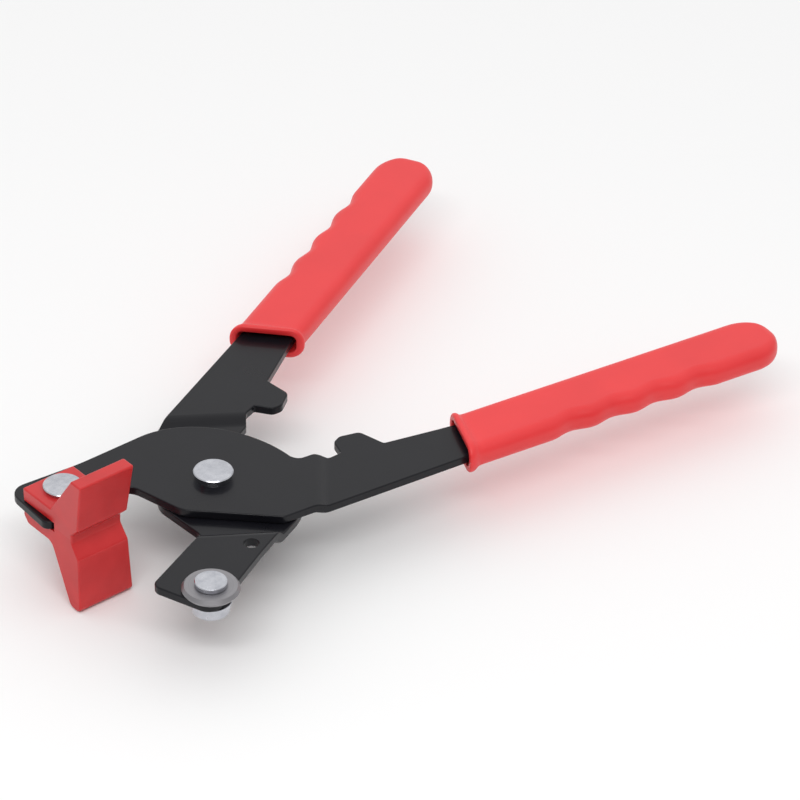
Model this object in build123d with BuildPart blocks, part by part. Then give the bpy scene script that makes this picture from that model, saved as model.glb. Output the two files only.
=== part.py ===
"""Hand pliers that score and snap ceramic tile: two pressed steel levers on one rivet.

One jaw carries a hard scoring wheel. The other carries a moulded breaker block that straddles
it. Frame: the origin is on the pivot's axis, midway between the two levers. +Z is the pivot's
axis and +X runs along the tool's middle line towards the handles, with the jaws open.
Millimetres.
"""

import os
from math import cos, radians, sin, tan

from build123d import *

os.makedirs("parts", exist_ok=True)

# Pressed sheet of both levers
PLATE = 2.5
HUB_GAP = 0.1  # slack between the two hubs
JOGGLE = 1.6  # each handle is pressed this far towards the other lever
EDGE = 0.4  # rounding of the sheet's cut edges
HANDLE_BEND_RADIUS = 4.0  # at the middle of the sheet, as is the jaw's
JAW_BEND_RADIUS = 1.9

UPPER_Z = HUB_GAP / 2 + PLATE / 2  # middle of the breaker lever's hub, and of both jaws
LOWER_Z = -UPPER_Z
BREAKER_HANDLE_Z = UPPER_Z - JOGGLE
WHEEL_HANDLE_Z = LOWER_Z + JOGGLE

# Bends, as directions in plan and the distance from the pivot to where the ramp begins
HANDLE_BEND_TURN = 48.0
HANDLE_BEND_START = 27.7
HANDLE_BEND_RUN = 3.0
JAW_BEND_START = 24.5
JAW_BEND_RUN = 2.1
SHEET_REACH = 230  # past the far end of either lever
BLANK_HALF = 10.0  # the outline is drawn this deep each way before the bends are cut

# Rivets: stem radius, then radius and height of the head and of the end formed over
RUNNING = 0.05  # clearance of a turning fit
PIVOT_STEM, PIVOT_HEAD, PIVOT_TAIL = 3.0, (5.5, 2.5), (4.8, 1.7)
BLOCK_STEM, BLOCK_HEAD, BLOCK_TAIL = 2.5, (5.4, 1.3), (3.6, 1.4)
HEAD_CROWN = 0.18  # rise of a head's face at its middle
HEAD_EDGE = 0.25
HEAD_TAPER = 0.2  # how far a head narrows towards the sheet, for each millimetre of height
TAIL_DOME = 0.6  # share of a formed end's height that is domed

# Handles, about the middle of each grip's open end
MOUTH_X, MOUTH_Y = 60.5, 36.1
HANDLE_ANGLE = 17.35  # from the tool's middle line
AXIS_X, AXIS_Y = cos(radians(HANDLE_ANGLE)), sin(radians(HANDLE_ANGLE))
TANG_HALF = 6.2
TANG_LENGTH = 92.0
TANG_FULL = 12.0  # from here on the tang has its even width
SLEEVE_GAP = 0.05

# Grips, dipped and moulded over the tangs
GRIP_LENGTH = 105.2
GRIP_TIP_OUTER, GRIP_TIP_INNER = 9.0, 8.0  # radii of the closed end's two corners
GRIP_HALF = 9.3
GRIP_THICKNESS = 7.4
GRIP_ROUND = 3.3
FINGER_FIRST, FINGER_PITCH, FINGER_COUNT = 31.8, 14.05, 4
FINGER_DEPTH = 1.15
FINGER_RADIUS, FINGER_SAG = 10.5, 0.42  # of each hollow and crest
RIM_HALF = 10.7
RIM_THICKNESS = 9.6
RIM_SLANT = 16.0  # the mouth is cut across the handle at this slant
RIM_ROUND = 4.3
RIM_LENGTH = 1.5
RIM_EDGE = 0.6
RIM_CLEAR = 5.0  # the sleeve's own edges are rounded from here on
FLARE = ((0, 1.0), (1.4, 1.0), (3.2, 0.45), (6.5, 0))  # depth, and share of the rim's extra size
FLARE_INSET = 0.06
MOUTH_HALF = 8.2
MOUTH_HEIGHT = 5.4
MOUTH_ROUND = 1.8
MOUTH_DEPTH = 5.0

# Breaker block: s runs from its front edge towards its rivet, w along its width
BLOCK_X, BLOCK_Y = -38.3, 2.4
BLOCK_TURN = -9.0
BLOCK_WAIST = 16.4  # width at the groove, which grows evenly to both tips
BLOCK_TIP_WIDTH = 17.8
UPPER_ARM, LOWER_ARM = 20.0, 21.6  # heights from the middle of the slot
UPPER_TIP = (0.0, 4.3)  # s of the front and of the back of each arm's tip
LOWER_TIP = (1.2, 5.6)
UPPER_LIP_S, UPPER_LIP_Z = 2.5, 4.5
LOWER_LIP_S, LOWER_LIP_Z = 2.3, -5.0
GROOVE_S, GROOVE_TOP, GROOVE_FOOT = 5.3, 1.6, -1.0
LUG_START, LUG_END, LUG_HALF = 14.4, 26.8, 5.45
LUG_CHAMFER = 2.0
SLOT_START, SLOT_SLACK = 13.0, 0.22
BLOCK_EDGE = 0.5
BLOCK_RIVET_S = 20.0

# Scoring wheel and its pin
WHEEL_X, WHEEL_Y = -38.0, -34.6
WHEEL_RADIUS = 7.8
WHEEL_WIDTH = 2.0
WHEEL_BEVEL = 0.7
WHEEL_LAND = 0.12  # left at the cutting edge
WHEEL_GAP = 0.08
PIN_STEM = 3.0
PIN_HEAD = 4.4
PIN_HEAD_HEIGHT = 1.4
PIN_HEAD_EDGES = (0.15, 0.3)  # radii of the head's lower and upper edges
PIN_FOOT = 5.7
PIN_FOOT_TAPER = 0.7
PIN_FOOT_HEIGHT = 4.0
PIN_FOOT_ROUND = 1.3

# Spare hole in the wheel's jaw
SPARE_X, SPARE_Y = -15.2, -28.0
SPARE_RADIUS = 2.15

JAW_TOP = UPPER_Z + PLATE / 2
JAW_BOTTOM = UPPER_Z - PLATE / 2
WHEEL_BOTTOM = JAW_TOP + WHEEL_GAP
WHEEL_TOP = WHEEL_BOTTOM + WHEEL_WIDTH
LUG_TOP = UPPER_Z + LUG_HALF
LUG_BOTTOM = UPPER_Z - LUG_HALF


def by_handle(t, y):
    """Plan point t mm into the grip and y mm to its outer side, on the +Y handle."""
    return (MOUTH_X + AXIS_X * t - AXIS_Y * y, MOUTH_Y + AXIS_Y * t + AXIS_X * y)


def by_block(s, w):
    """Plan point s mm behind the block's front edge and w mm along its width."""
    turn = radians(BLOCK_TURN)
    return (BLOCK_X + cos(turn) * w - sin(turn) * s, BLOCK_Y + sin(turn) * w + cos(turn) * s)


# The tang inside the grip, with the radius at each corner
TANG = [
    ((-2.0, -7.4), 12.0),
    ((TANG_FULL, -TANG_HALF), 12.0),
    ((TANG_LENGTH, -TANG_HALF), 5.0),
    ((TANG_LENGTH, TANG_HALF), 5.0),
    ((TANG_FULL, TANG_HALF), 12.0),
    ((-1.0, 7.6), 12.0),
]
TANG_RADII = [radius for point, radius in TANG[1:-1]]

# Both levers are alike from the hub to the end of the tang. The points go round the +Y handle:
# the hub's round side, the neck, the hook, the tang inside the grip and the hub's flat side.
HUB_ARC = [(21.6, 8.6), (21.9, -1.0), (19.6, -11.0), (14.0, -20.4), (7.0, -25.8), (1.0, -27.9)]
ROUND = [
    ((22.2, 11.0), 2.5),
    ((26.6, 12.4), 1.5),
    ((29.6, 15.3), 3.0),
    ((33.8, 16.0), 0.7),
    ((36.2, 11.2), 2.2),
    ((39.2, 10.5), 2.6),
    ((44.7, 13.2), 2.2),
    ((45.3, 21.6), 1.0),
    *[(by_handle(*point), radius) for point, radius in TANG],
    ((9.5, 29.2), 30.0),
    ((-0.5, 26.4), 2.5),
    ((-16.7, 4.2), 7.0),
]
BREAKER_JAW = [
    ((-18.0, -14.6), 4.5),
    ((-26.0, -15.7), 20.0),
    ((-46.0, -17.7), 2.3),
    ((-41.6, -36.8), 4.6),
    ((-20.0, -31.2), 60.0),
]
WHEEL_JAW = [
    ((-19.1, -14.6), 4.5),
    ((-26.0, -16.1), 20.0),
    ((-46.6, -21.3), 2.6),
    ((-43.1, -40.9), 4.2),
    ((-16.0, -32.4), 50.0),
]

BREAKER_HOLES = [(*by_block(BLOCK_RIVET_S, 0), BLOCK_STEM)]
WHEEL_HOLES = [(WHEEL_X, WHEEL_Y, PIN_STEM), (SPARE_X, SPARE_Y, SPARE_RADIUS)]
LEVERS = (("breaker_lever", -1, BREAKER_JAW, BREAKER_HOLES), ("wheel_lever", 1, WHEEL_JAW, WHEEL_HOLES))

for name, side, jaw, holes in LEVERS:
    corners = ROUND + jaw
    outline = [HUB_ARC[0]] + [point for point, radius in corners] + [HUB_ARC[-1]]
    hub_z = -side * UPPER_Z
    turn = radians(side * HANDLE_BEND_TURN)
    across = Plane((0, 0, 0), x_dir=(cos(turn), sin(turn), 0), z_dir=(sin(turn), -cos(turn), 0))
    with BuildPart() as lever:
        with BuildSketch():
            with BuildLine():
                FilletPolyline(
                    *[(x, side * y) for x, y in outline], radius=[radius for point, radius in corners]
                )
                Spline(*[(x, side * y) for x, y in HUB_ARC])
            make_face()
        extrude(amount=BLANK_HALF, both=True)
        with BuildSketch(across):
            with BuildLine() as middle:
                jaw_bend = [(-JAW_BEND_START - JAW_BEND_RUN, UPPER_Z), (-JAW_BEND_START, hub_z)]
                jaw_bend = jaw_bend if side > 0 else []
                FilletPolyline(
                    (-SHEET_REACH, UPPER_Z),
                    *jaw_bend,
                    (HANDLE_BEND_START, hub_z),
                    (HANDLE_BEND_START + HANDLE_BEND_RUN, hub_z + side * JOGGLE),
                    (SHEET_REACH, hub_z + side * JOGGLE),
                    radius=[JAW_BEND_RADIUS] * len(jaw_bend) + [HANDLE_BEND_RADIUS] * 2,
                )
            trace(middle.line, PLATE)
        extrude(amount=SHEET_REACH, both=True, mode=Mode.INTERSECT)
        walls = lever.faces().filter_by(lambda face: abs(face.normal_at().Z) < 0.01)
        rims = [edge for edge in walls.edges() if abs(edge.tangent_at(0.5).Z) < 0.9]
        fillet(rims, radius=EDGE)
    with BuildPart() as drilled:
        add(lever.part)
        with Locations((0, 0, BLANK_HALF)):
            Hole(radius=PIVOT_STEM + (RUNNING if side > 0 else 0), depth=2 * BLANK_HALF)
        for x, y, radius in holes:
            with Locations((x, y, BLANK_HALF)):
                Hole(radius=radius, depth=2 * BLANK_HALF)
    drilled.part.label = name
    export_step(drilled.part, f"parts/{name}.step")

# Grips: a flat rounded sleeve with finger hollows on its outer edge and a flared open end,
# cut at a slant, where the lever goes in
GRIPS = (("breaker_grip", -1, BREAKER_HANDLE_Z), ("wheel_grip", 1, WHEEL_HANDLE_Z))
SLANT_T = GRIP_HALF * tan(radians(RIM_SLANT))
BODY_START = RIM_LENGTH / 2

for name, side, z in GRIPS:
    # In this plane x runs into the grip and y to the tool's outer side, on either handle
    flat = Plane((MOUTH_X, side * MOUTH_Y, z), x_dir=(AXIS_X, side * AXIS_Y, 0), z_dir=(0, 0, side))
    # The mouth's plane: x to the tool's outer side, z into the grip
    facing = side * radians(HANDLE_ANGLE + RIM_SLANT)
    mouth = Plane(
        flat.origin, x_dir=(-side * sin(facing), side * cos(facing), 0), z_dir=(cos(facing), sin(facing), 0)
    )
    edge_line = [(BODY_START - SLANT_T, GRIP_HALF), (FINGER_FIRST - FINGER_PITCH / 2 + 1, GRIP_HALF)]
    for finger in range(FINGER_COUNT):
        hollow = FINGER_FIRST + finger * FINGER_PITCH
        edge_line.append((hollow, GRIP_HALF - FINGER_DEPTH - FINGER_SAG))
        edge_line.append((hollow + FINGER_PITCH / 2, GRIP_HALF + FINGER_SAG))
    edge_line[-1] = (edge_line[-1][0] - 1, GRIP_HALF)
    waves = len(edge_line) - 1
    with BuildPart() as grip:
        with BuildSketch(flat):
            with BuildLine():
                FilletPolyline(
                    *edge_line,
                    (GRIP_LENGTH, GRIP_HALF),
                    (GRIP_LENGTH, -GRIP_HALF),
                    (BODY_START + SLANT_T, -GRIP_HALF),
                    radius=[FINGER_RADIUS] * waves + [GRIP_TIP_OUTER, GRIP_TIP_INNER],
                )
                Line((BODY_START + SLANT_T, -GRIP_HALF), (BODY_START - SLANT_T, GRIP_HALF))
            make_face()
        extrude(amount=GRIP_THICKNESS / 2, both=True)
        skins = grip.faces().filter_by(Axis.Z)
        rims = [edge for edge in skins.edges() if edge.center().X > MOUTH_X + RIM_CLEAR]
        fillet(rims, radius=GRIP_ROUND)
        # The flare, through sections that shrink to the sleeve's own
        for depth, share in FLARE:
            half = (GRIP_HALF - FLARE_INSET) / cos(radians(RIM_SLANT))
            with BuildSketch(mouth.offset(depth)):
                RectangleRounded(
                    2 * (half + share * (RIM_HALF - half)),
                    GRIP_THICKNESS - FLARE_INSET + share * (RIM_THICKNESS - GRIP_THICKNESS),
                    GRIP_ROUND + share * (RIM_ROUND - GRIP_ROUND),
                )
        loft()
        with BuildSketch(mouth):
            RectangleRounded(2 * MOUTH_HALF, MOUTH_HEIGHT, MOUTH_ROUND)
        extrude(amount=MOUTH_DEPTH, mode=Mode.SUBTRACT)
        with BuildSketch(flat):
            with BuildLine():
                FilletPolyline(*[point for point, radius in TANG], radius=TANG_RADII)
                Line(TANG[-1][0], TANG[0][0])
            make_face()
            offset(amount=SLEEVE_GAP)
        extrude(amount=PLATE / 2 + SLEEVE_GAP, both=True, mode=Mode.SUBTRACT)
        lip = grip.faces().filter_by(lambda face: abs(face.normal_at().dot(mouth.z_dir)) > 0.999)
        fillet(lip.sort_by(Axis.X)[0].outer_wire().edges(), radius=RIM_EDGE)
    grip.part.label = name
    export_step(grip.part, f"parts/{name}.step")

# Rivets, each tight in the breaker lever: a flat head, a stem and an end formed over. The
# pivot's holds the wheel lever below it, and the block's holds the block's lug on both sides.
RIVETS = (
    ("pivot_rivet", (0, 0), PIVOT_STEM, -JAW_TOP, JAW_TOP, PIVOT_HEAD, PIVOT_TAIL),
    ("block_rivet", by_block(BLOCK_RIVET_S, 0), BLOCK_STEM, LUG_BOTTOM, LUG_TOP, BLOCK_HEAD, BLOCK_TAIL),
)
for name, (x, y), stem, bottom, top, (head, rise), (tail, drop) in RIVETS:
    low = bottom - RUNNING
    high = top + (0 if name == "pivot_rivet" else RUNNING)
    face = high + rise - HEAD_CROWN
    crown_radius = ((head - HEAD_EDGE) ** 2 + HEAD_CROWN**2) / (2 * HEAD_CROWN)
    dome = TAIL_DOME * drop
    dome_radius = (tail**2 + dome**2) / (2 * dome)
    with BuildPart() as rivet:
        with BuildSketch(Plane((x, y, 0), x_dir=(1, 0, 0), z_dir=(0, -1, 0))):
            with BuildLine():
                RadiusArc((0, low - drop), (tail, low - drop + dome), -dome_radius)
                Polyline((tail, low - drop + dome), (tail, low), (stem, low), (stem, high))
                Polyline(
                    (stem, high), (head - HEAD_TAPER * rise, high), (head, face - HEAD_EDGE), (head - HEAD_EDGE, face)
                )
                RadiusArc((head - HEAD_EDGE, face), (0, high + rise), -crown_radius)
                Line((0, high + rise), (0, low - drop))
            make_face()
        revolve(axis=Axis((x, y, 0), (0, 0, 1)))
    rivet.part.label = name
    export_step(rivet.part, f"parts/{name}.step")

# The block's side view: each corner of its front, lower arm, lug and upper arm, with its radius
BLOCK_SIDE = [
    ((UPPER_TIP[0], UPPER_ARM), 0.5),
    ((UPPER_LIP_S, UPPER_LIP_Z), 0.3),
    ((GROOVE_S, GROOVE_TOP), 0.4),
    ((GROOVE_S, GROOVE_FOOT), 1.2),
    ((LOWER_LIP_S, LOWER_LIP_Z), 1.6),
    ((LOWER_TIP[0], -LOWER_ARM), 1.6),
    ((LOWER_TIP[1], -LOWER_ARM), 2.4),
    ((LUG_START, -LUG_HALF), 3.0),
    ((LUG_END - LUG_CHAMFER, -LUG_HALF), 1.5),
    ((LUG_END, -LUG_HALF + LUG_CHAMFER), 1.0),
    ((LUG_END, LUG_HALF), 0.5),
    ((LUG_START, LUG_HALF), 0.4),
    ((UPPER_TIP[1], UPPER_ARM), 0.5),
]

# Breaker block: arms above and below that widen to their tips, with a groove between their lips
# for the other jaw, and a slotted lug that straddles the breaker lever
backwards = (-sin(radians(BLOCK_TURN)), cos(radians(BLOCK_TURN)), 0)
sideways = (cos(radians(BLOCK_TURN)), sin(radians(BLOCK_TURN)), 0)
side_view = Plane((BLOCK_X, BLOCK_Y, UPPER_Z), x_dir=backwards, z_dir=sideways)
front_view = Plane((BLOCK_X, BLOCK_Y, UPPER_Z), x_dir=sideways, z_dir=[-u for u in backwards])
with BuildPart() as breaker_block:
    with BuildSketch(side_view):
        with BuildLine():
            FilletPolyline(
                *[point for point, radius in BLOCK_SIDE],
                radius=[radius for point, radius in BLOCK_SIDE],
                close=True,
            )
        make_face()
    extrude(amount=BLOCK_TIP_WIDTH, both=True)
    with BuildSketch(front_view):
        with BuildLine():
            Polyline(
                (BLOCK_WAIST / 2, 0),
                (BLOCK_TIP_WIDTH / 2, UPPER_ARM),
                (-BLOCK_TIP_WIDTH / 2, UPPER_ARM),
                (-BLOCK_WAIST / 2, 0),
                (-BLOCK_TIP_WIDTH / 2, -LOWER_ARM),
                (BLOCK_TIP_WIDTH / 2, -LOWER_ARM),
                close=True,
            )
        make_face()
    extrude(amount=LUG_END + BLOCK_TIP_WIDTH, both=True, mode=Mode.INTERSECT)
    walls = breaker_block.faces().filter_by(lambda face: abs(face.normal_at().dot(Vector(sideways))) > 0.99)
    fillet([edge for edge in walls.edges() if abs(edge.center().Z - UPPER_Z) > 0.01], radius=BLOCK_EDGE)
    with BuildSketch(side_view):
        with Locations((SLOT_START + LUG_END / 2, 0)):
            Rectangle(LUG_END, PLATE + 2 * SLOT_SLACK)
    extrude(amount=BLOCK_TIP_WIDTH, both=True, mode=Mode.SUBTRACT)
    with Locations((*by_block(BLOCK_RIVET_S, 0), 2 * LUG_TOP)):
        Hole(radius=BLOCK_STEM + RUNNING, depth=4 * LUG_TOP)
breaker_block.part.label = "breaker_block"
export_step(breaker_block.part, "parts/breaker_block.step")

# Scoring wheel: a hard disc ground to an edge from both faces
with BuildPart() as scoring_wheel:
    with BuildSketch(Plane((WHEEL_X, WHEEL_Y, WHEEL_BOTTOM), x_dir=(1, 0, 0), z_dir=(0, -1, 0))):
        with BuildLine():
            Polyline(
                (PIN_STEM + RUNNING, 0),
                (WHEEL_RADIUS - WHEEL_BEVEL, 0),
                (WHEEL_RADIUS, WHEEL_WIDTH / 2 - WHEEL_LAND / 2),
                (WHEEL_RADIUS, WHEEL_WIDTH / 2 + WHEEL_LAND / 2),
                (WHEEL_RADIUS - WHEEL_BEVEL, WHEEL_WIDTH),
                (PIN_STEM + RUNNING, WHEEL_WIDTH),
                close=True,
            )
        make_face()
    revolve(axis=Axis((WHEEL_X, WHEEL_Y, 0), (0, 0, 1)))
scoring_wheel.part.label = "scoring_wheel"
export_step(scoring_wheel.part, "parts/scoring_wheel.step")

# Wheel pin, tight in the wheel lever: a thick foot below the jaw and a flat head over the wheel
with BuildPart() as wheel_pin:
    with BuildSketch(Plane((WHEEL_X, WHEEL_Y, 0), x_dir=(1, 0, 0), z_dir=(0, -1, 0))):
        with BuildLine():
            FilletPolyline(
                (0, JAW_BOTTOM - PIN_FOOT_HEIGHT),
                (PIN_FOOT - PIN_FOOT_TAPER, JAW_BOTTOM - PIN_FOOT_HEIGHT),
                (PIN_FOOT, JAW_BOTTOM),
                (PIN_STEM, JAW_BOTTOM),
                (PIN_STEM, WHEEL_TOP + WHEEL_GAP),
                (PIN_HEAD, WHEEL_TOP + WHEEL_GAP),
                (PIN_HEAD, WHEEL_TOP + WHEEL_GAP + PIN_HEAD_HEIGHT),
                (0, WHEEL_TOP + WHEEL_GAP + PIN_HEAD_HEIGHT),
                radius=[PIN_FOOT_ROUND, PIN_HEAD_EDGES[0], 0, 0, *PIN_HEAD_EDGES],
            )
            Line((0, WHEEL_TOP + WHEEL_GAP + PIN_HEAD_HEIGHT), (0, JAW_BOTTOM - PIN_FOOT_HEIGHT))
        make_face()
    revolve(axis=Axis((WHEEL_X, WHEEL_Y, 0), (0, 0, 1)))
wheel_pin.part.label = "wheel_pin"
export_step(wheel_pin.part, "parts/wheel_pin.step")
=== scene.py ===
"""Tile cutting pliers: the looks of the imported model, in metres and in the model's own frame."""

import math

import bmesh
import bpy
from mathutils import Matrix, Vector


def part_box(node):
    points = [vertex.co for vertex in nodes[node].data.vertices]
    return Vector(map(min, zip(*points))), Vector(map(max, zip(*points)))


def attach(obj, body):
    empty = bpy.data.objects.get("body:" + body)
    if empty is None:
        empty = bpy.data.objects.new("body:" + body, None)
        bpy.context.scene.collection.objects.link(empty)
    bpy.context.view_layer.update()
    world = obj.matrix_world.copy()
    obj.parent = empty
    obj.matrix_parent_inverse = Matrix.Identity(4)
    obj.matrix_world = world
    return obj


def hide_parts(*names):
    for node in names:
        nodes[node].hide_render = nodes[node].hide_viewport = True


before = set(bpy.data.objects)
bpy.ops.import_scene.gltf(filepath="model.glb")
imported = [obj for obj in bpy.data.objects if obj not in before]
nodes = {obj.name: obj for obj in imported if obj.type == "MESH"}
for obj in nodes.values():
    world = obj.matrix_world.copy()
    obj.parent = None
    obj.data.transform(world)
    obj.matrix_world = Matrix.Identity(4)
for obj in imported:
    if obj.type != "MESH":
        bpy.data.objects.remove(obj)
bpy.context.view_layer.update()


# Studio: a white table under a tall soft light tent, brighter behind the tool than in front of
# it, and one long soft lamp over the viewer that draws a line along each rounded edge. The
# tool rests on the foot of its breaker block.
VIEW_AZIMUTH = math.radians(-49.634)
VIEW_ELEVATION = math.radians(34.438)
VIEW_ROLL = math.radians(1.33)
VIEW_DISTANCE = 1.3
VIEW_AIM = Vector((0.06483, -0.01045, 0))
VIEW_LENS = 210.36
TENT_TOP = (0.35, 0.30, 0.887)
TENT_DIM, TENT_BRIGHT = 0.10, 1.08
LAMP_PLACE = Vector((-0.50, -0.45, 1.0))
LAMP_LENGTH, LAMP_WIDTH = 1.0, 0.18
LAMP_POWER = 4.5
FLOOR_HALF = 4.0
FLOOR_CLEARANCE = 0.0002
FLOOR_WHITE = (0.96, 0.96, 0.96, 1)

view_back = Vector(
    (
        math.sin(VIEW_AZIMUTH) * math.cos(VIEW_ELEVATION),
        -math.cos(VIEW_AZIMUTH) * math.cos(VIEW_ELEVATION),
        math.sin(VIEW_ELEVATION),
    )
)
view_right = Vector((math.cos(VIEW_AZIMUTH), math.sin(VIEW_AZIMUTH), 0))
view_turn = Matrix((view_right, view_back.cross(view_right), view_back)).transposed()
camera_data = bpy.data.cameras.new("camera")
camera_data.lens = VIEW_LENS
camera_data.sensor_width = 36
camera_data.clip_start = 0.05
camera_data.clip_end = 20
camera = bpy.data.objects.new("camera", camera_data)
camera.matrix_world = Matrix.Translation(VIEW_AIM + view_back * VIEW_DISTANCE) @ (
    view_turn.to_4x4() @ Matrix.Rotation(VIEW_ROLL, 4, "Z")
)
bpy.context.scene.collection.objects.link(camera)
bpy.context.scene.camera = camera
bpy.context.scene.view_settings.view_transform = "Standard"

world = bpy.data.worlds.new("light_tent")
bpy.context.scene.world = world
world.use_nodes = True
tent = world.node_tree
direction = tent.nodes.new("ShaderNodeTexCoord").outputs["Generated"]
height = tent.nodes.new("ShaderNodeVectorMath")
height.operation = "DOT_PRODUCT"
height.inputs[1].default_value = TENT_TOP
tent.links.new(direction, height.inputs[0])
glow = tent.nodes.new("ShaderNodeMapRange")
glow.inputs["From Min"].default_value = -0.5
glow.inputs["From Max"].default_value = 1.0
glow.inputs["To Min"].default_value = TENT_DIM
glow.inputs["To Max"].default_value = TENT_BRIGHT
tent.links.new(height.outputs["Value"], glow.inputs["Value"])
tent.nodes["Background"].inputs["Color"].default_value = (1, 1, 1, 1)
tent.links.new(glow.outputs["Result"], tent.nodes["Background"].inputs["Strength"])

lamp_data = bpy.data.lights.new("edge_lamp", "AREA")
lamp_data.shape = "RECTANGLE"
lamp_data.size = LAMP_LENGTH
lamp_data.size_y = LAMP_WIDTH
lamp_data.energy = LAMP_POWER
lamp = bpy.data.objects.new("edge_lamp", lamp_data)
lamp.location = LAMP_PLACE
lamp.rotation_mode = "QUATERNION"
lamp.rotation_quaternion = (VIEW_AIM - LAMP_PLACE).to_track_quat("-Z", "Y")
bpy.context.scene.collection.objects.link(lamp)

floor_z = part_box("breaker_block")[0].z - FLOOR_CLEARANCE
floor_mesh = bpy.data.meshes.new("floor")
floor_mesh.from_pydata(
    [(x * FLOOR_HALF, y * FLOOR_HALF, floor_z) for x, y in ((-1, -1), (1, -1), (1, 1), (-1, 1))],
    [],
    [(0, 1, 2, 3)],
)
floor = bpy.data.objects.new("floor", floor_mesh)
bpy.context.scene.collection.objects.link(floor)
floor_paper = bpy.data.materials.new("floor_paper")
floor_paper.use_nodes = True
floor_shader = floor_paper.node_tree.nodes["Principled BSDF"]
floor_shader.inputs["Base Color"].default_value = FLOOR_WHITE
floor_shader.inputs["Roughness"].default_value = 0.9
floor_mesh.materials.append(floor_paper)


# Levers: two pieces of 2.5 mm sheet steel, blanked and pressed to shape, then sprayed black.
# The paint is smooth and half glossy, with a faint orange peel, and a little worn on top.
PAINT_BLACK = (0.006, 0.006, 0.0085)
PAINT_WORN = (0.009, 0.009, 0.012)
PAINT_PEEL = 0.00001


def new_finish(name):
    """A material with its tree, its shader and the place on the piece that its patterns read."""
    material = bpy.data.materials.new(name)
    material.use_nodes = True
    tree = material.node_tree
    place = tree.nodes.new("ShaderNodeTexCoord").outputs["Object"]
    return material, tree, tree.nodes["Principled BSDF"], place


def noise(tree, place, scale, detail=3.0, roughness=0.5):
    """Noise on the piece, with scale in cells for each metre."""
    node = tree.nodes.new("ShaderNodeTexNoise")
    node.inputs["Scale"].default_value = scale
    node.inputs["Detail"].default_value = detail
    node.inputs["Roughness"].default_value = roughness
    tree.links.new(place, node.inputs["Vector"])
    return node.outputs["Fac"]


def between(tree, value, low, high, from_low=0.3, from_high=0.7):
    """A value spread from from_low..from_high to low..high."""
    node = tree.nodes.new("ShaderNodeMapRange")
    node.inputs["From Min"].default_value = from_low
    node.inputs["From Max"].default_value = from_high
    node.inputs["To Min"].default_value = low
    node.inputs["To Max"].default_value = high
    tree.links.new(value, node.inputs["Value"])
    return node.outputs["Result"]


def tint(tree, value, dark, light):
    """Two colours mixed by a value."""
    node = tree.nodes.new("ShaderNodeMix")
    node.data_type = "RGBA"
    tree.links.new(value, node.inputs["Factor"])
    node.inputs["A"].default_value = (*dark, 1)
    node.inputs["B"].default_value = (*light, 1)
    return node.outputs["Result"]


def relief(tree, shader, height, depth, strength):
    """A small relief of that depth in metres."""
    node = tree.nodes.new("ShaderNodeBump")
    node.inputs["Strength"].default_value = strength
    node.inputs["Distance"].default_value = depth
    tree.links.new(height, node.inputs["Height"])
    tree.links.new(node.outputs["Normal"], shader.inputs["Normal"])


def wear(node_name, material):
    """Puts a finish on a carried-over node."""
    mesh = nodes[node_name].data
    mesh.materials.clear()
    mesh.materials.append(material)
    for face in mesh.polygons:
        face.material_index = 0


paint, tree, shader, place = new_finish("black_paint")
drift = noise(tree, place, 60.0, 4.0)
peel = noise(tree, place, 900.0, 2.0)
colour = tint(tree, between(tree, drift, 0, 1), PAINT_BLACK, PAINT_WORN)
tree.links.new(colour, shader.inputs["Base Color"])
tree.links.new(between(tree, drift, 0.26, 0.36), shader.inputs["Roughness"])
shader.inputs["Specular IOR Level"].default_value = 0.15
shader.inputs["Coat Weight"].default_value = 0.22
shader.inputs["Coat Roughness"].default_value = 0.10
relief(tree, shader, peel, PAINT_PEEL, 0.5)
wear("breaker_lever", paint)
wear("wheel_lever", paint)


# Grips: thick red vinyl sleeves, dipped and moulded in one piece with four finger hollows and a
# rolled lip at the open end, then pushed warm over the levers' tangs. Soft, smooth and satin.
# Each is drawn along its handle from the open end, and the hollows are pressed into its outer
# edge afterwards.
MOUTH_X, MOUTH_Y = 0.0605, 0.0361
HANDLE_TURN = math.radians(17.35)
MOUTH_SLANT = math.tan(math.radians(16.0))
SLANT_FADE = 0.014  # the sections have turned square to the handle by here
GRIP_LENGTH = 0.1048
GRIP_HALF, GRIP_RISE, GRIP_ROUND = 0.0093, 0.0037, 0.0033
LIP_HALF, LIP_RISE, LIP_ROUND = 0.01029, 0.0047, 0.0042
LIP_SHAPE = (  # distance from the open end, share of the lip's extra size, and how far drawn in
    (0.0, 1.0, 0.00055),
    (0.0001, 1.0, 0.00030),
    (0.0003, 1.0, 0.00009),
    (0.0006, 1.0, 0.0),
    (0.0011, 1.0, 0.0),
    (0.0015, 0.93, 0.0),
    (0.0019, 0.72, 0.0),
    (0.0023, 0.42, 0.0),
    (0.0028, 0.16, 0.0),
    (0.0034, 0.04, 0.0),
    (0.0042, 0.0, 0.0),
)
TIP_LENGTH = 0.0100
SLEEVE_STEP = 0.0008
TIP_STEPS = 22
BORE_SHAPE = (  # depth, half width, half height and corner radius of the pocket for the tang
    (0.0, 0.0085, 0.0030, 0.0020),
    (0.00015, 0.0083, 0.0028, 0.0019),
    (0.0005, 0.0082, 0.0027, 0.0018),
    (0.0046, 0.0082, 0.0027, 0.0018),
    (0.0049, 0.0081, 0.0026, 0.0018),
    (0.0050, 0.0078, 0.0024, 0.0016),
    (0.0051, 0.0073, 0.0014, 0.0006),
    (0.0056, 0.00715, 0.00131, 0.0004),
    (0.0130, 0.00626, 0.00131, 0.0004),
    (0.0921, 0.00626, 0.00131, 0.0004),
)
CORNER_STEPS, FACE_STEPS, SIDE_STEPS = 9, 16, 2
FINGER_FIRST, FINGER_PITCH, FINGER_COUNT, FINGER_DEPTH = 0.0318, 0.01405, 4, 0.00125
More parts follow.
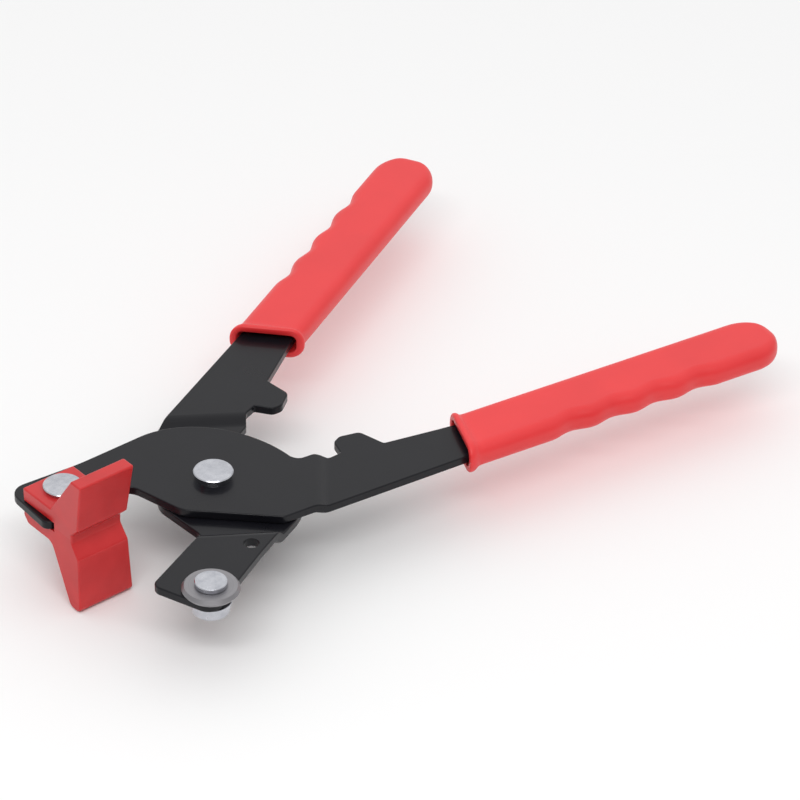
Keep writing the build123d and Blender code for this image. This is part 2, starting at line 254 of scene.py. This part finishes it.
VINYL_RED = (0.80, 0.030, 0.034)
VINYL_PALE = (0.86, 0.040, 0.044)
VINYL_GRAIN = 0.000008


def flat_ring(half, rise, corner):
    """One section of a sleeve, a rounded rectangle, as (outwards, up) points all round it."""
    corner = min(corner, half - 1e-6, rise - 1e-6)
    wide, tall = half - corner, rise - corner
    ring = []
    for quarter, (x, y) in enumerate(((wide, tall), (-wide, tall), (-wide, -tall), (wide, -tall))):
        for step in range(CORNER_STEPS + 1):
            angle = math.pi / 2 * (quarter + step / CORNER_STEPS)
            ring.append((x + corner * math.cos(angle), y + corner * math.sin(angle)))
        steps = SIDE_STEPS if quarter % 2 else FACE_STEPS
        turn = math.pi / 2 * (quarter + 1)
        push_x, push_y = -math.sin(turn), math.cos(turn)
        run = 2 * (tall if quarter % 2 else wide)
        for step in range(1, steps):
            last_x = x + corner * math.cos(turn)
            last_y = y + corner * math.sin(turn)
            ring.append((last_x + push_x * run * step / steps, last_y + push_y * run * step / steps))
    return ring


def sleeve_sections():
    """Each section of the grip, from the pocket's end out to the mouth and on to the closed tip."""
    sections = [(depth, flat_ring(*size)) for depth, *size in reversed(BORE_SHAPE)]
    for distance, share, drawn in LIP_SHAPE:
        half = GRIP_HALF + share * (LIP_HALF - GRIP_HALF) - drawn
        rise = GRIP_RISE + share * (LIP_RISE - GRIP_RISE) - drawn
        corner = GRIP_ROUND + share * (LIP_ROUND - GRIP_ROUND) - drawn / 2
        sections.append((distance, flat_ring(half, rise, corner)))
    body_start = LIP_SHAPE[-1][0]
    tip_start = GRIP_LENGTH - TIP_LENGTH
    steps = round((tip_start - body_start) / SLEEVE_STEP)
    for step in range(1, steps):
        distance = body_start + (tip_start - body_start) * step / steps
        sections.append((distance, flat_ring(GRIP_HALF, GRIP_RISE, GRIP_ROUND)))
    for step in range(TIP_STEPS):
        angle = math.pi / 2 * step / TIP_STEPS
        distance = tip_start + TIP_LENGTH * math.sin(angle)
        half = GRIP_HALF * math.cos(angle)
        past = max(0.0, distance - (GRIP_LENGTH - GRIP_ROUND))
        rise = GRIP_RISE - GRIP_ROUND + math.sqrt(GRIP_ROUND**2 - past**2)
        sections.append((distance, flat_ring(half, rise, GRIP_ROUND)))
    return sections


def finger_press():
    """Geometry nodes that press a row of smooth hollows into one edge of a sleeve."""
    tree = bpy.data.node_groups.new("finger_press", "GeometryNodeTree")
    tree.is_modifier = True
    tree.interface.new_socket("Geometry", in_out="INPUT", socket_type="NodeSocketGeometry")
    for name, kind in (
        ("Mouth", "Vector"),
        ("Along", "Vector"),
        ("Outwards", "Vector"),
        ("First", "Float"),
        ("Pitch", "Float"),
        ("Count", "Float"),
        ("Depth", "Float"),
        ("Edge", "Float"),
        ("Round", "Float"),
        ("Vinyl", "Material"),
    ):
        tree.interface.new_socket(name, in_out="INPUT", socket_type=f"NodeSocket{kind}")
    tree.interface.new_socket("Geometry", in_out="OUTPUT", socket_type="NodeSocketGeometry")
    given = tree.nodes.new("NodeGroupInput").outputs

    def vector(operation, *values):
        node = tree.nodes.new("ShaderNodeVectorMath")
        node.operation = operation
        for socket, value in zip(node.inputs, values):
            tree.links.new(value, socket)
        return node.outputs["Value" if operation == "DOT_PRODUCT" else "Vector"]

    def number(operation, *values):
        node = tree.nodes.new("ShaderNodeMath")
        node.operation = operation
        for socket, value in zip(node.inputs, values):
            if isinstance(value, (int, float)):
                socket.default_value = value
            else:
                tree.links.new(value, socket)
        return node.outputs["Value"]

    from_mouth = vector("SUBTRACT", tree.nodes.new("GeometryNodeInputPosition").outputs[0], given["Mouth"])
    along = vector("DOT_PRODUCT", from_mouth, given["Along"])
    outwards = vector("DOT_PRODUCT", from_mouth, given["Outwards"])
    finger = number("DIVIDE", number("SUBTRACT", along, given["First"]), given["Pitch"])
    finger = number("MAXIMUM", number("MINIMUM", finger, number("SUBTRACT", given["Count"], 0.5)), -0.5)
    wave = number("ADD", number("COSINE", number("MULTIPLY", finger, 2 * math.pi)), 1.0)
    inner = number("SUBTRACT", given["Edge"], number("MULTIPLY", given["Round"], 1.6))
    nearness = tree.nodes.new("ShaderNodeMapRange")
    nearness.interpolation_type = "SMOOTHSTEP"
    tree.links.new(outwards, nearness.inputs["Value"])
    tree.links.new(inner, nearness.inputs["From Min"])
    outer = number("SUBTRACT", given["Edge"], number("MULTIPLY", given["Round"], 0.7))
    tree.links.new(outer, nearness.inputs["From Max"])
    pressed = number("MULTIPLY", number("MULTIPLY", wave, nearness.outputs["Result"]), -0.5)
    push = tree.nodes.new("ShaderNodeVectorMath")
    push.operation = "SCALE"
    tree.links.new(given["Outwards"], push.inputs[0])
    tree.links.new(number("MULTIPLY", pressed, given["Depth"]), push.inputs["Scale"])
    moved = tree.nodes.new("GeometryNodeSetPosition")
    tree.links.new(given["Geometry"], moved.inputs["Geometry"])
    tree.links.new(push.outputs["Vector"], moved.inputs["Offset"])
    realized = tree.nodes.new("GeometryNodeRealizeInstances")
    tree.links.new(moved.outputs["Geometry"], realized.inputs["Geometry"])
    dyed = tree.nodes.new("GeometryNodeSetMaterial")
    tree.links.new(realized.outputs["Geometry"], dyed.inputs["Geometry"])
    tree.links.new(given["Vinyl"], dyed.inputs["Material"])
    tree.links.new(dyed.outputs["Geometry"], tree.nodes.new("NodeGroupOutput").inputs["Geometry"])
    return tree


def make_grip(name, side, height, press, material):
    """One grip, on the handle to that side of the tool's middle line."""
    mouth = Vector((MOUTH_X, side * MOUTH_Y, height))
    along = Vector((math.cos(HANDLE_TURN), side * math.sin(HANDLE_TURN), 0))
    outwards = Vector((-math.sin(HANDLE_TURN), side * math.cos(HANDLE_TURN), 0))
    shell = bmesh.new()
    rings = []
    for distance, ring in sleeve_sections():
        slant = MOUTH_SLANT * max(0.0, 1 - distance / SLANT_FADE)
        points = [mouth + along * (distance - out * slant) + outwards * out + Vector((0, 0, up)) for out, up in ring]
        rings.append([shell.verts.new(point) for point in points])
    for ring, following in zip(rings, rings[1:]):
        for index, vertex in enumerate(ring):
            after = (index + 1) % len(ring)
            shell.faces.new((vertex, ring[after], following[after], following[index]))
    for ring in (rings[0], rings[-1]):
        middle = shell.verts.new(sum((vertex.co for vertex in ring), Vector()) / len(ring))
        for index, vertex in enumerate(ring):
            shell.faces.new((vertex, ring[(index + 1) % len(ring)], middle))
    bmesh.ops.recalc_face_normals(shell, faces=shell.faces)
    for face in shell.faces:
        face.smooth = True
    blank = bpy.data.meshes.new(name)
    shell.to_mesh(blank)
    shell.free()
    grip = bpy.data.objects.new(name, blank)
    bpy.context.scene.collection.objects.link(grip)
    modifier = grip.modifiers.new("finger_press", "NODES")
    modifier.node_group = press
    sizes = {
        "Mouth": mouth,
        "Along": along,
        "Outwards": outwards,
        "First": FINGER_FIRST,
        "Pitch": FINGER_PITCH,
        "Count": float(FINGER_COUNT),
        "Depth": FINGER_DEPTH,
        "Edge": GRIP_HALF,
        "Round": GRIP_ROUND,
        "Vinyl": material,
    }
    for item in press.interface.items_tree:
        if item.in_out == "INPUT" and item.name in sizes:
            modifier[item.identifier] = sizes[item.name]
    evaluated = grip.evaluated_get(bpy.context.evaluated_depsgraph_get())
    grip_mesh = bpy.data.meshes.new_from_object(evaluated)
    grip.modifiers.clear()
    grip.data = grip_mesh
    bpy.data.meshes.remove(blank)
    return grip


vinyl, tree, shader, place = new_finish("red_vinyl")
cloud = noise(tree, place, 45.0, 3.0)
grain = noise(tree, place, 2600.0, 2.0)
colour = tint(tree, between(tree, cloud, 0, 1), VINYL_RED, VINYL_PALE)
tree.links.new(colour, shader.inputs["Base Color"])
tree.links.new(between(tree, cloud, 0.36, 0.44), shader.inputs["Roughness"])
shader.inputs["Subsurface Weight"].default_value = 0.06
shader.inputs["Subsurface Radius"].default_value = (0.0012, 0.0003, 0.0002)
shader.inputs["Subsurface Scale"].default_value = 1.0
relief(tree, shader, grain, VINYL_GRAIN, 0.35)
press = finger_press()
for node_name, body, side in (("breaker_grip", "breaker_side", -1), ("wheel_grip", "wheel_side", 1)):
    low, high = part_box(node_name)
    grip = make_grip(f"{node_name}_sleeve", side, (low.z + high.z) / 2, press, vinyl)
    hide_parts(node_name)
    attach(grip, body)


# Pivot rivet: plated mild steel with a flat head, pushed through both hubs and headed over on a
# press. The plating is bright, with the faint circles that the forming tool leaves.
PLATE_BRIGHT = (0.60, 0.61, 0.65)
PLATE_DULL = (0.44, 0.45, 0.49)
PLATE_RINGS = 0.000004


def axis_of(node_name):
    """Where the axis of a turned piece crosses the plan."""
    low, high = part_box(node_name)
    return ((low.x + high.x) / 2, (low.y + high.y) / 2)


def reach_from(tree, place, axis):
    """The distance from a turned piece's axis."""
    centred = tree.nodes.new("ShaderNodeMapping")
    centred.inputs["Location"].default_value = (-axis[0], -axis[1], 0)
    centred.inputs["Scale"].default_value = (1, 1, 0)
    tree.links.new(place, centred.inputs["Vector"])
    reach = tree.nodes.new("ShaderNodeVectorMath")
    reach.operation = "LENGTH"
    tree.links.new(centred.outputs["Vector"], reach.inputs[0])
    return reach.outputs["Value"]


def plating(name, axis):
    """Bright zinc with fine rings about a rivet's axis."""
    material, tree, shader, place = new_finish(name)
    rings = noise(tree, reach_from(tree, place, axis), 5000.0, 2.0)
    smear = noise(tree, place, 350.0, 4.0, 0.6)
    tree.links.new(tint(tree, between(tree, smear, 0, 1), PLATE_DULL, PLATE_BRIGHT), shader.inputs["Base Color"])
    tree.links.new(between(tree, smear, 0.16, 0.30), shader.inputs["Roughness"])
    shader.inputs["Metallic"].default_value = 1.0
    relief(tree, shader, rings, PLATE_RINGS, 0.3)
    return material


wear("pivot_rivet", plating("pivot_plating", axis_of("pivot_rivet")))


# Breaker block: moulded red nylon, with an arm above and an arm below the jaw and a groove
# between their lips. Its slotted lug straddles the breaker lever, and it is glossier than the grips.
NYLON_RED = (0.55, 0.014, 0.016)
NYLON_PALE = (0.63, 0.021, 0.023)
NYLON_SKIN = 0.00001
nylon, tree, shader, place = new_finish("red_nylon")
flow = noise(tree, place, 120.0, 3.0)
skin = noise(tree, place, 1800.0, 2.0)
tree.links.new(tint(tree, between(tree, flow, 0, 1), NYLON_RED, NYLON_PALE), shader.inputs["Base Color"])
tree.links.new(between(tree, flow, 0.28, 0.36), shader.inputs["Roughness"])
shader.inputs["Subsurface Weight"].default_value = 0.05
shader.inputs["Subsurface Radius"].default_value = (0.001, 0.0002, 0.0002)
shader.inputs["Subsurface Scale"].default_value = 1.0
relief(tree, shader, skin, NYLON_SKIN, 0.4)
wear("breaker_block", nylon)


# Block rivet: like the pivot's, but thinner and longer, through the block's lug and the jaw. The
# block still turns a little on it.
wear("block_rivet", plating("block_rivet_plating", axis_of("block_rivet")))


# Scoring wheel: a disc of tungsten carbide, ground flat on both faces and ground to an edge all
# round. Grinding leaves fine circles and a dull grey shine.
CARBIDE_LIGHT = (0.36, 0.35, 0.37)
CARBIDE_DARK = (0.24, 0.235, 0.245)
CARBIDE_RINGS = 0.000006
carbide, tree, shader, place = new_finish("ground_carbide")
rings = noise(tree, reach_from(tree, place, axis_of("scoring_wheel")), 9000.0, 3.0)
cloud = noise(tree, place, 300.0, 3.0)
tree.links.new(tint(tree, between(tree, rings, 0, 1), CARBIDE_DARK, CARBIDE_LIGHT), shader.inputs["Base Color"])
tree.links.new(between(tree, cloud, 0.34, 0.46), shader.inputs["Roughness"])
shader.inputs["Metallic"].default_value = 0.9
relief(tree, shader, rings, CARBIDE_RINGS, 0.5)
wear("scoring_wheel", carbide)


# Wheel pin: turned and plated steel. Its thick foot stands below the jaw, and its flat head, over
# the wheel, lets the wheel turn.
wear("wheel_pin", plating("pin_plating", axis_of("wheel_pin")))
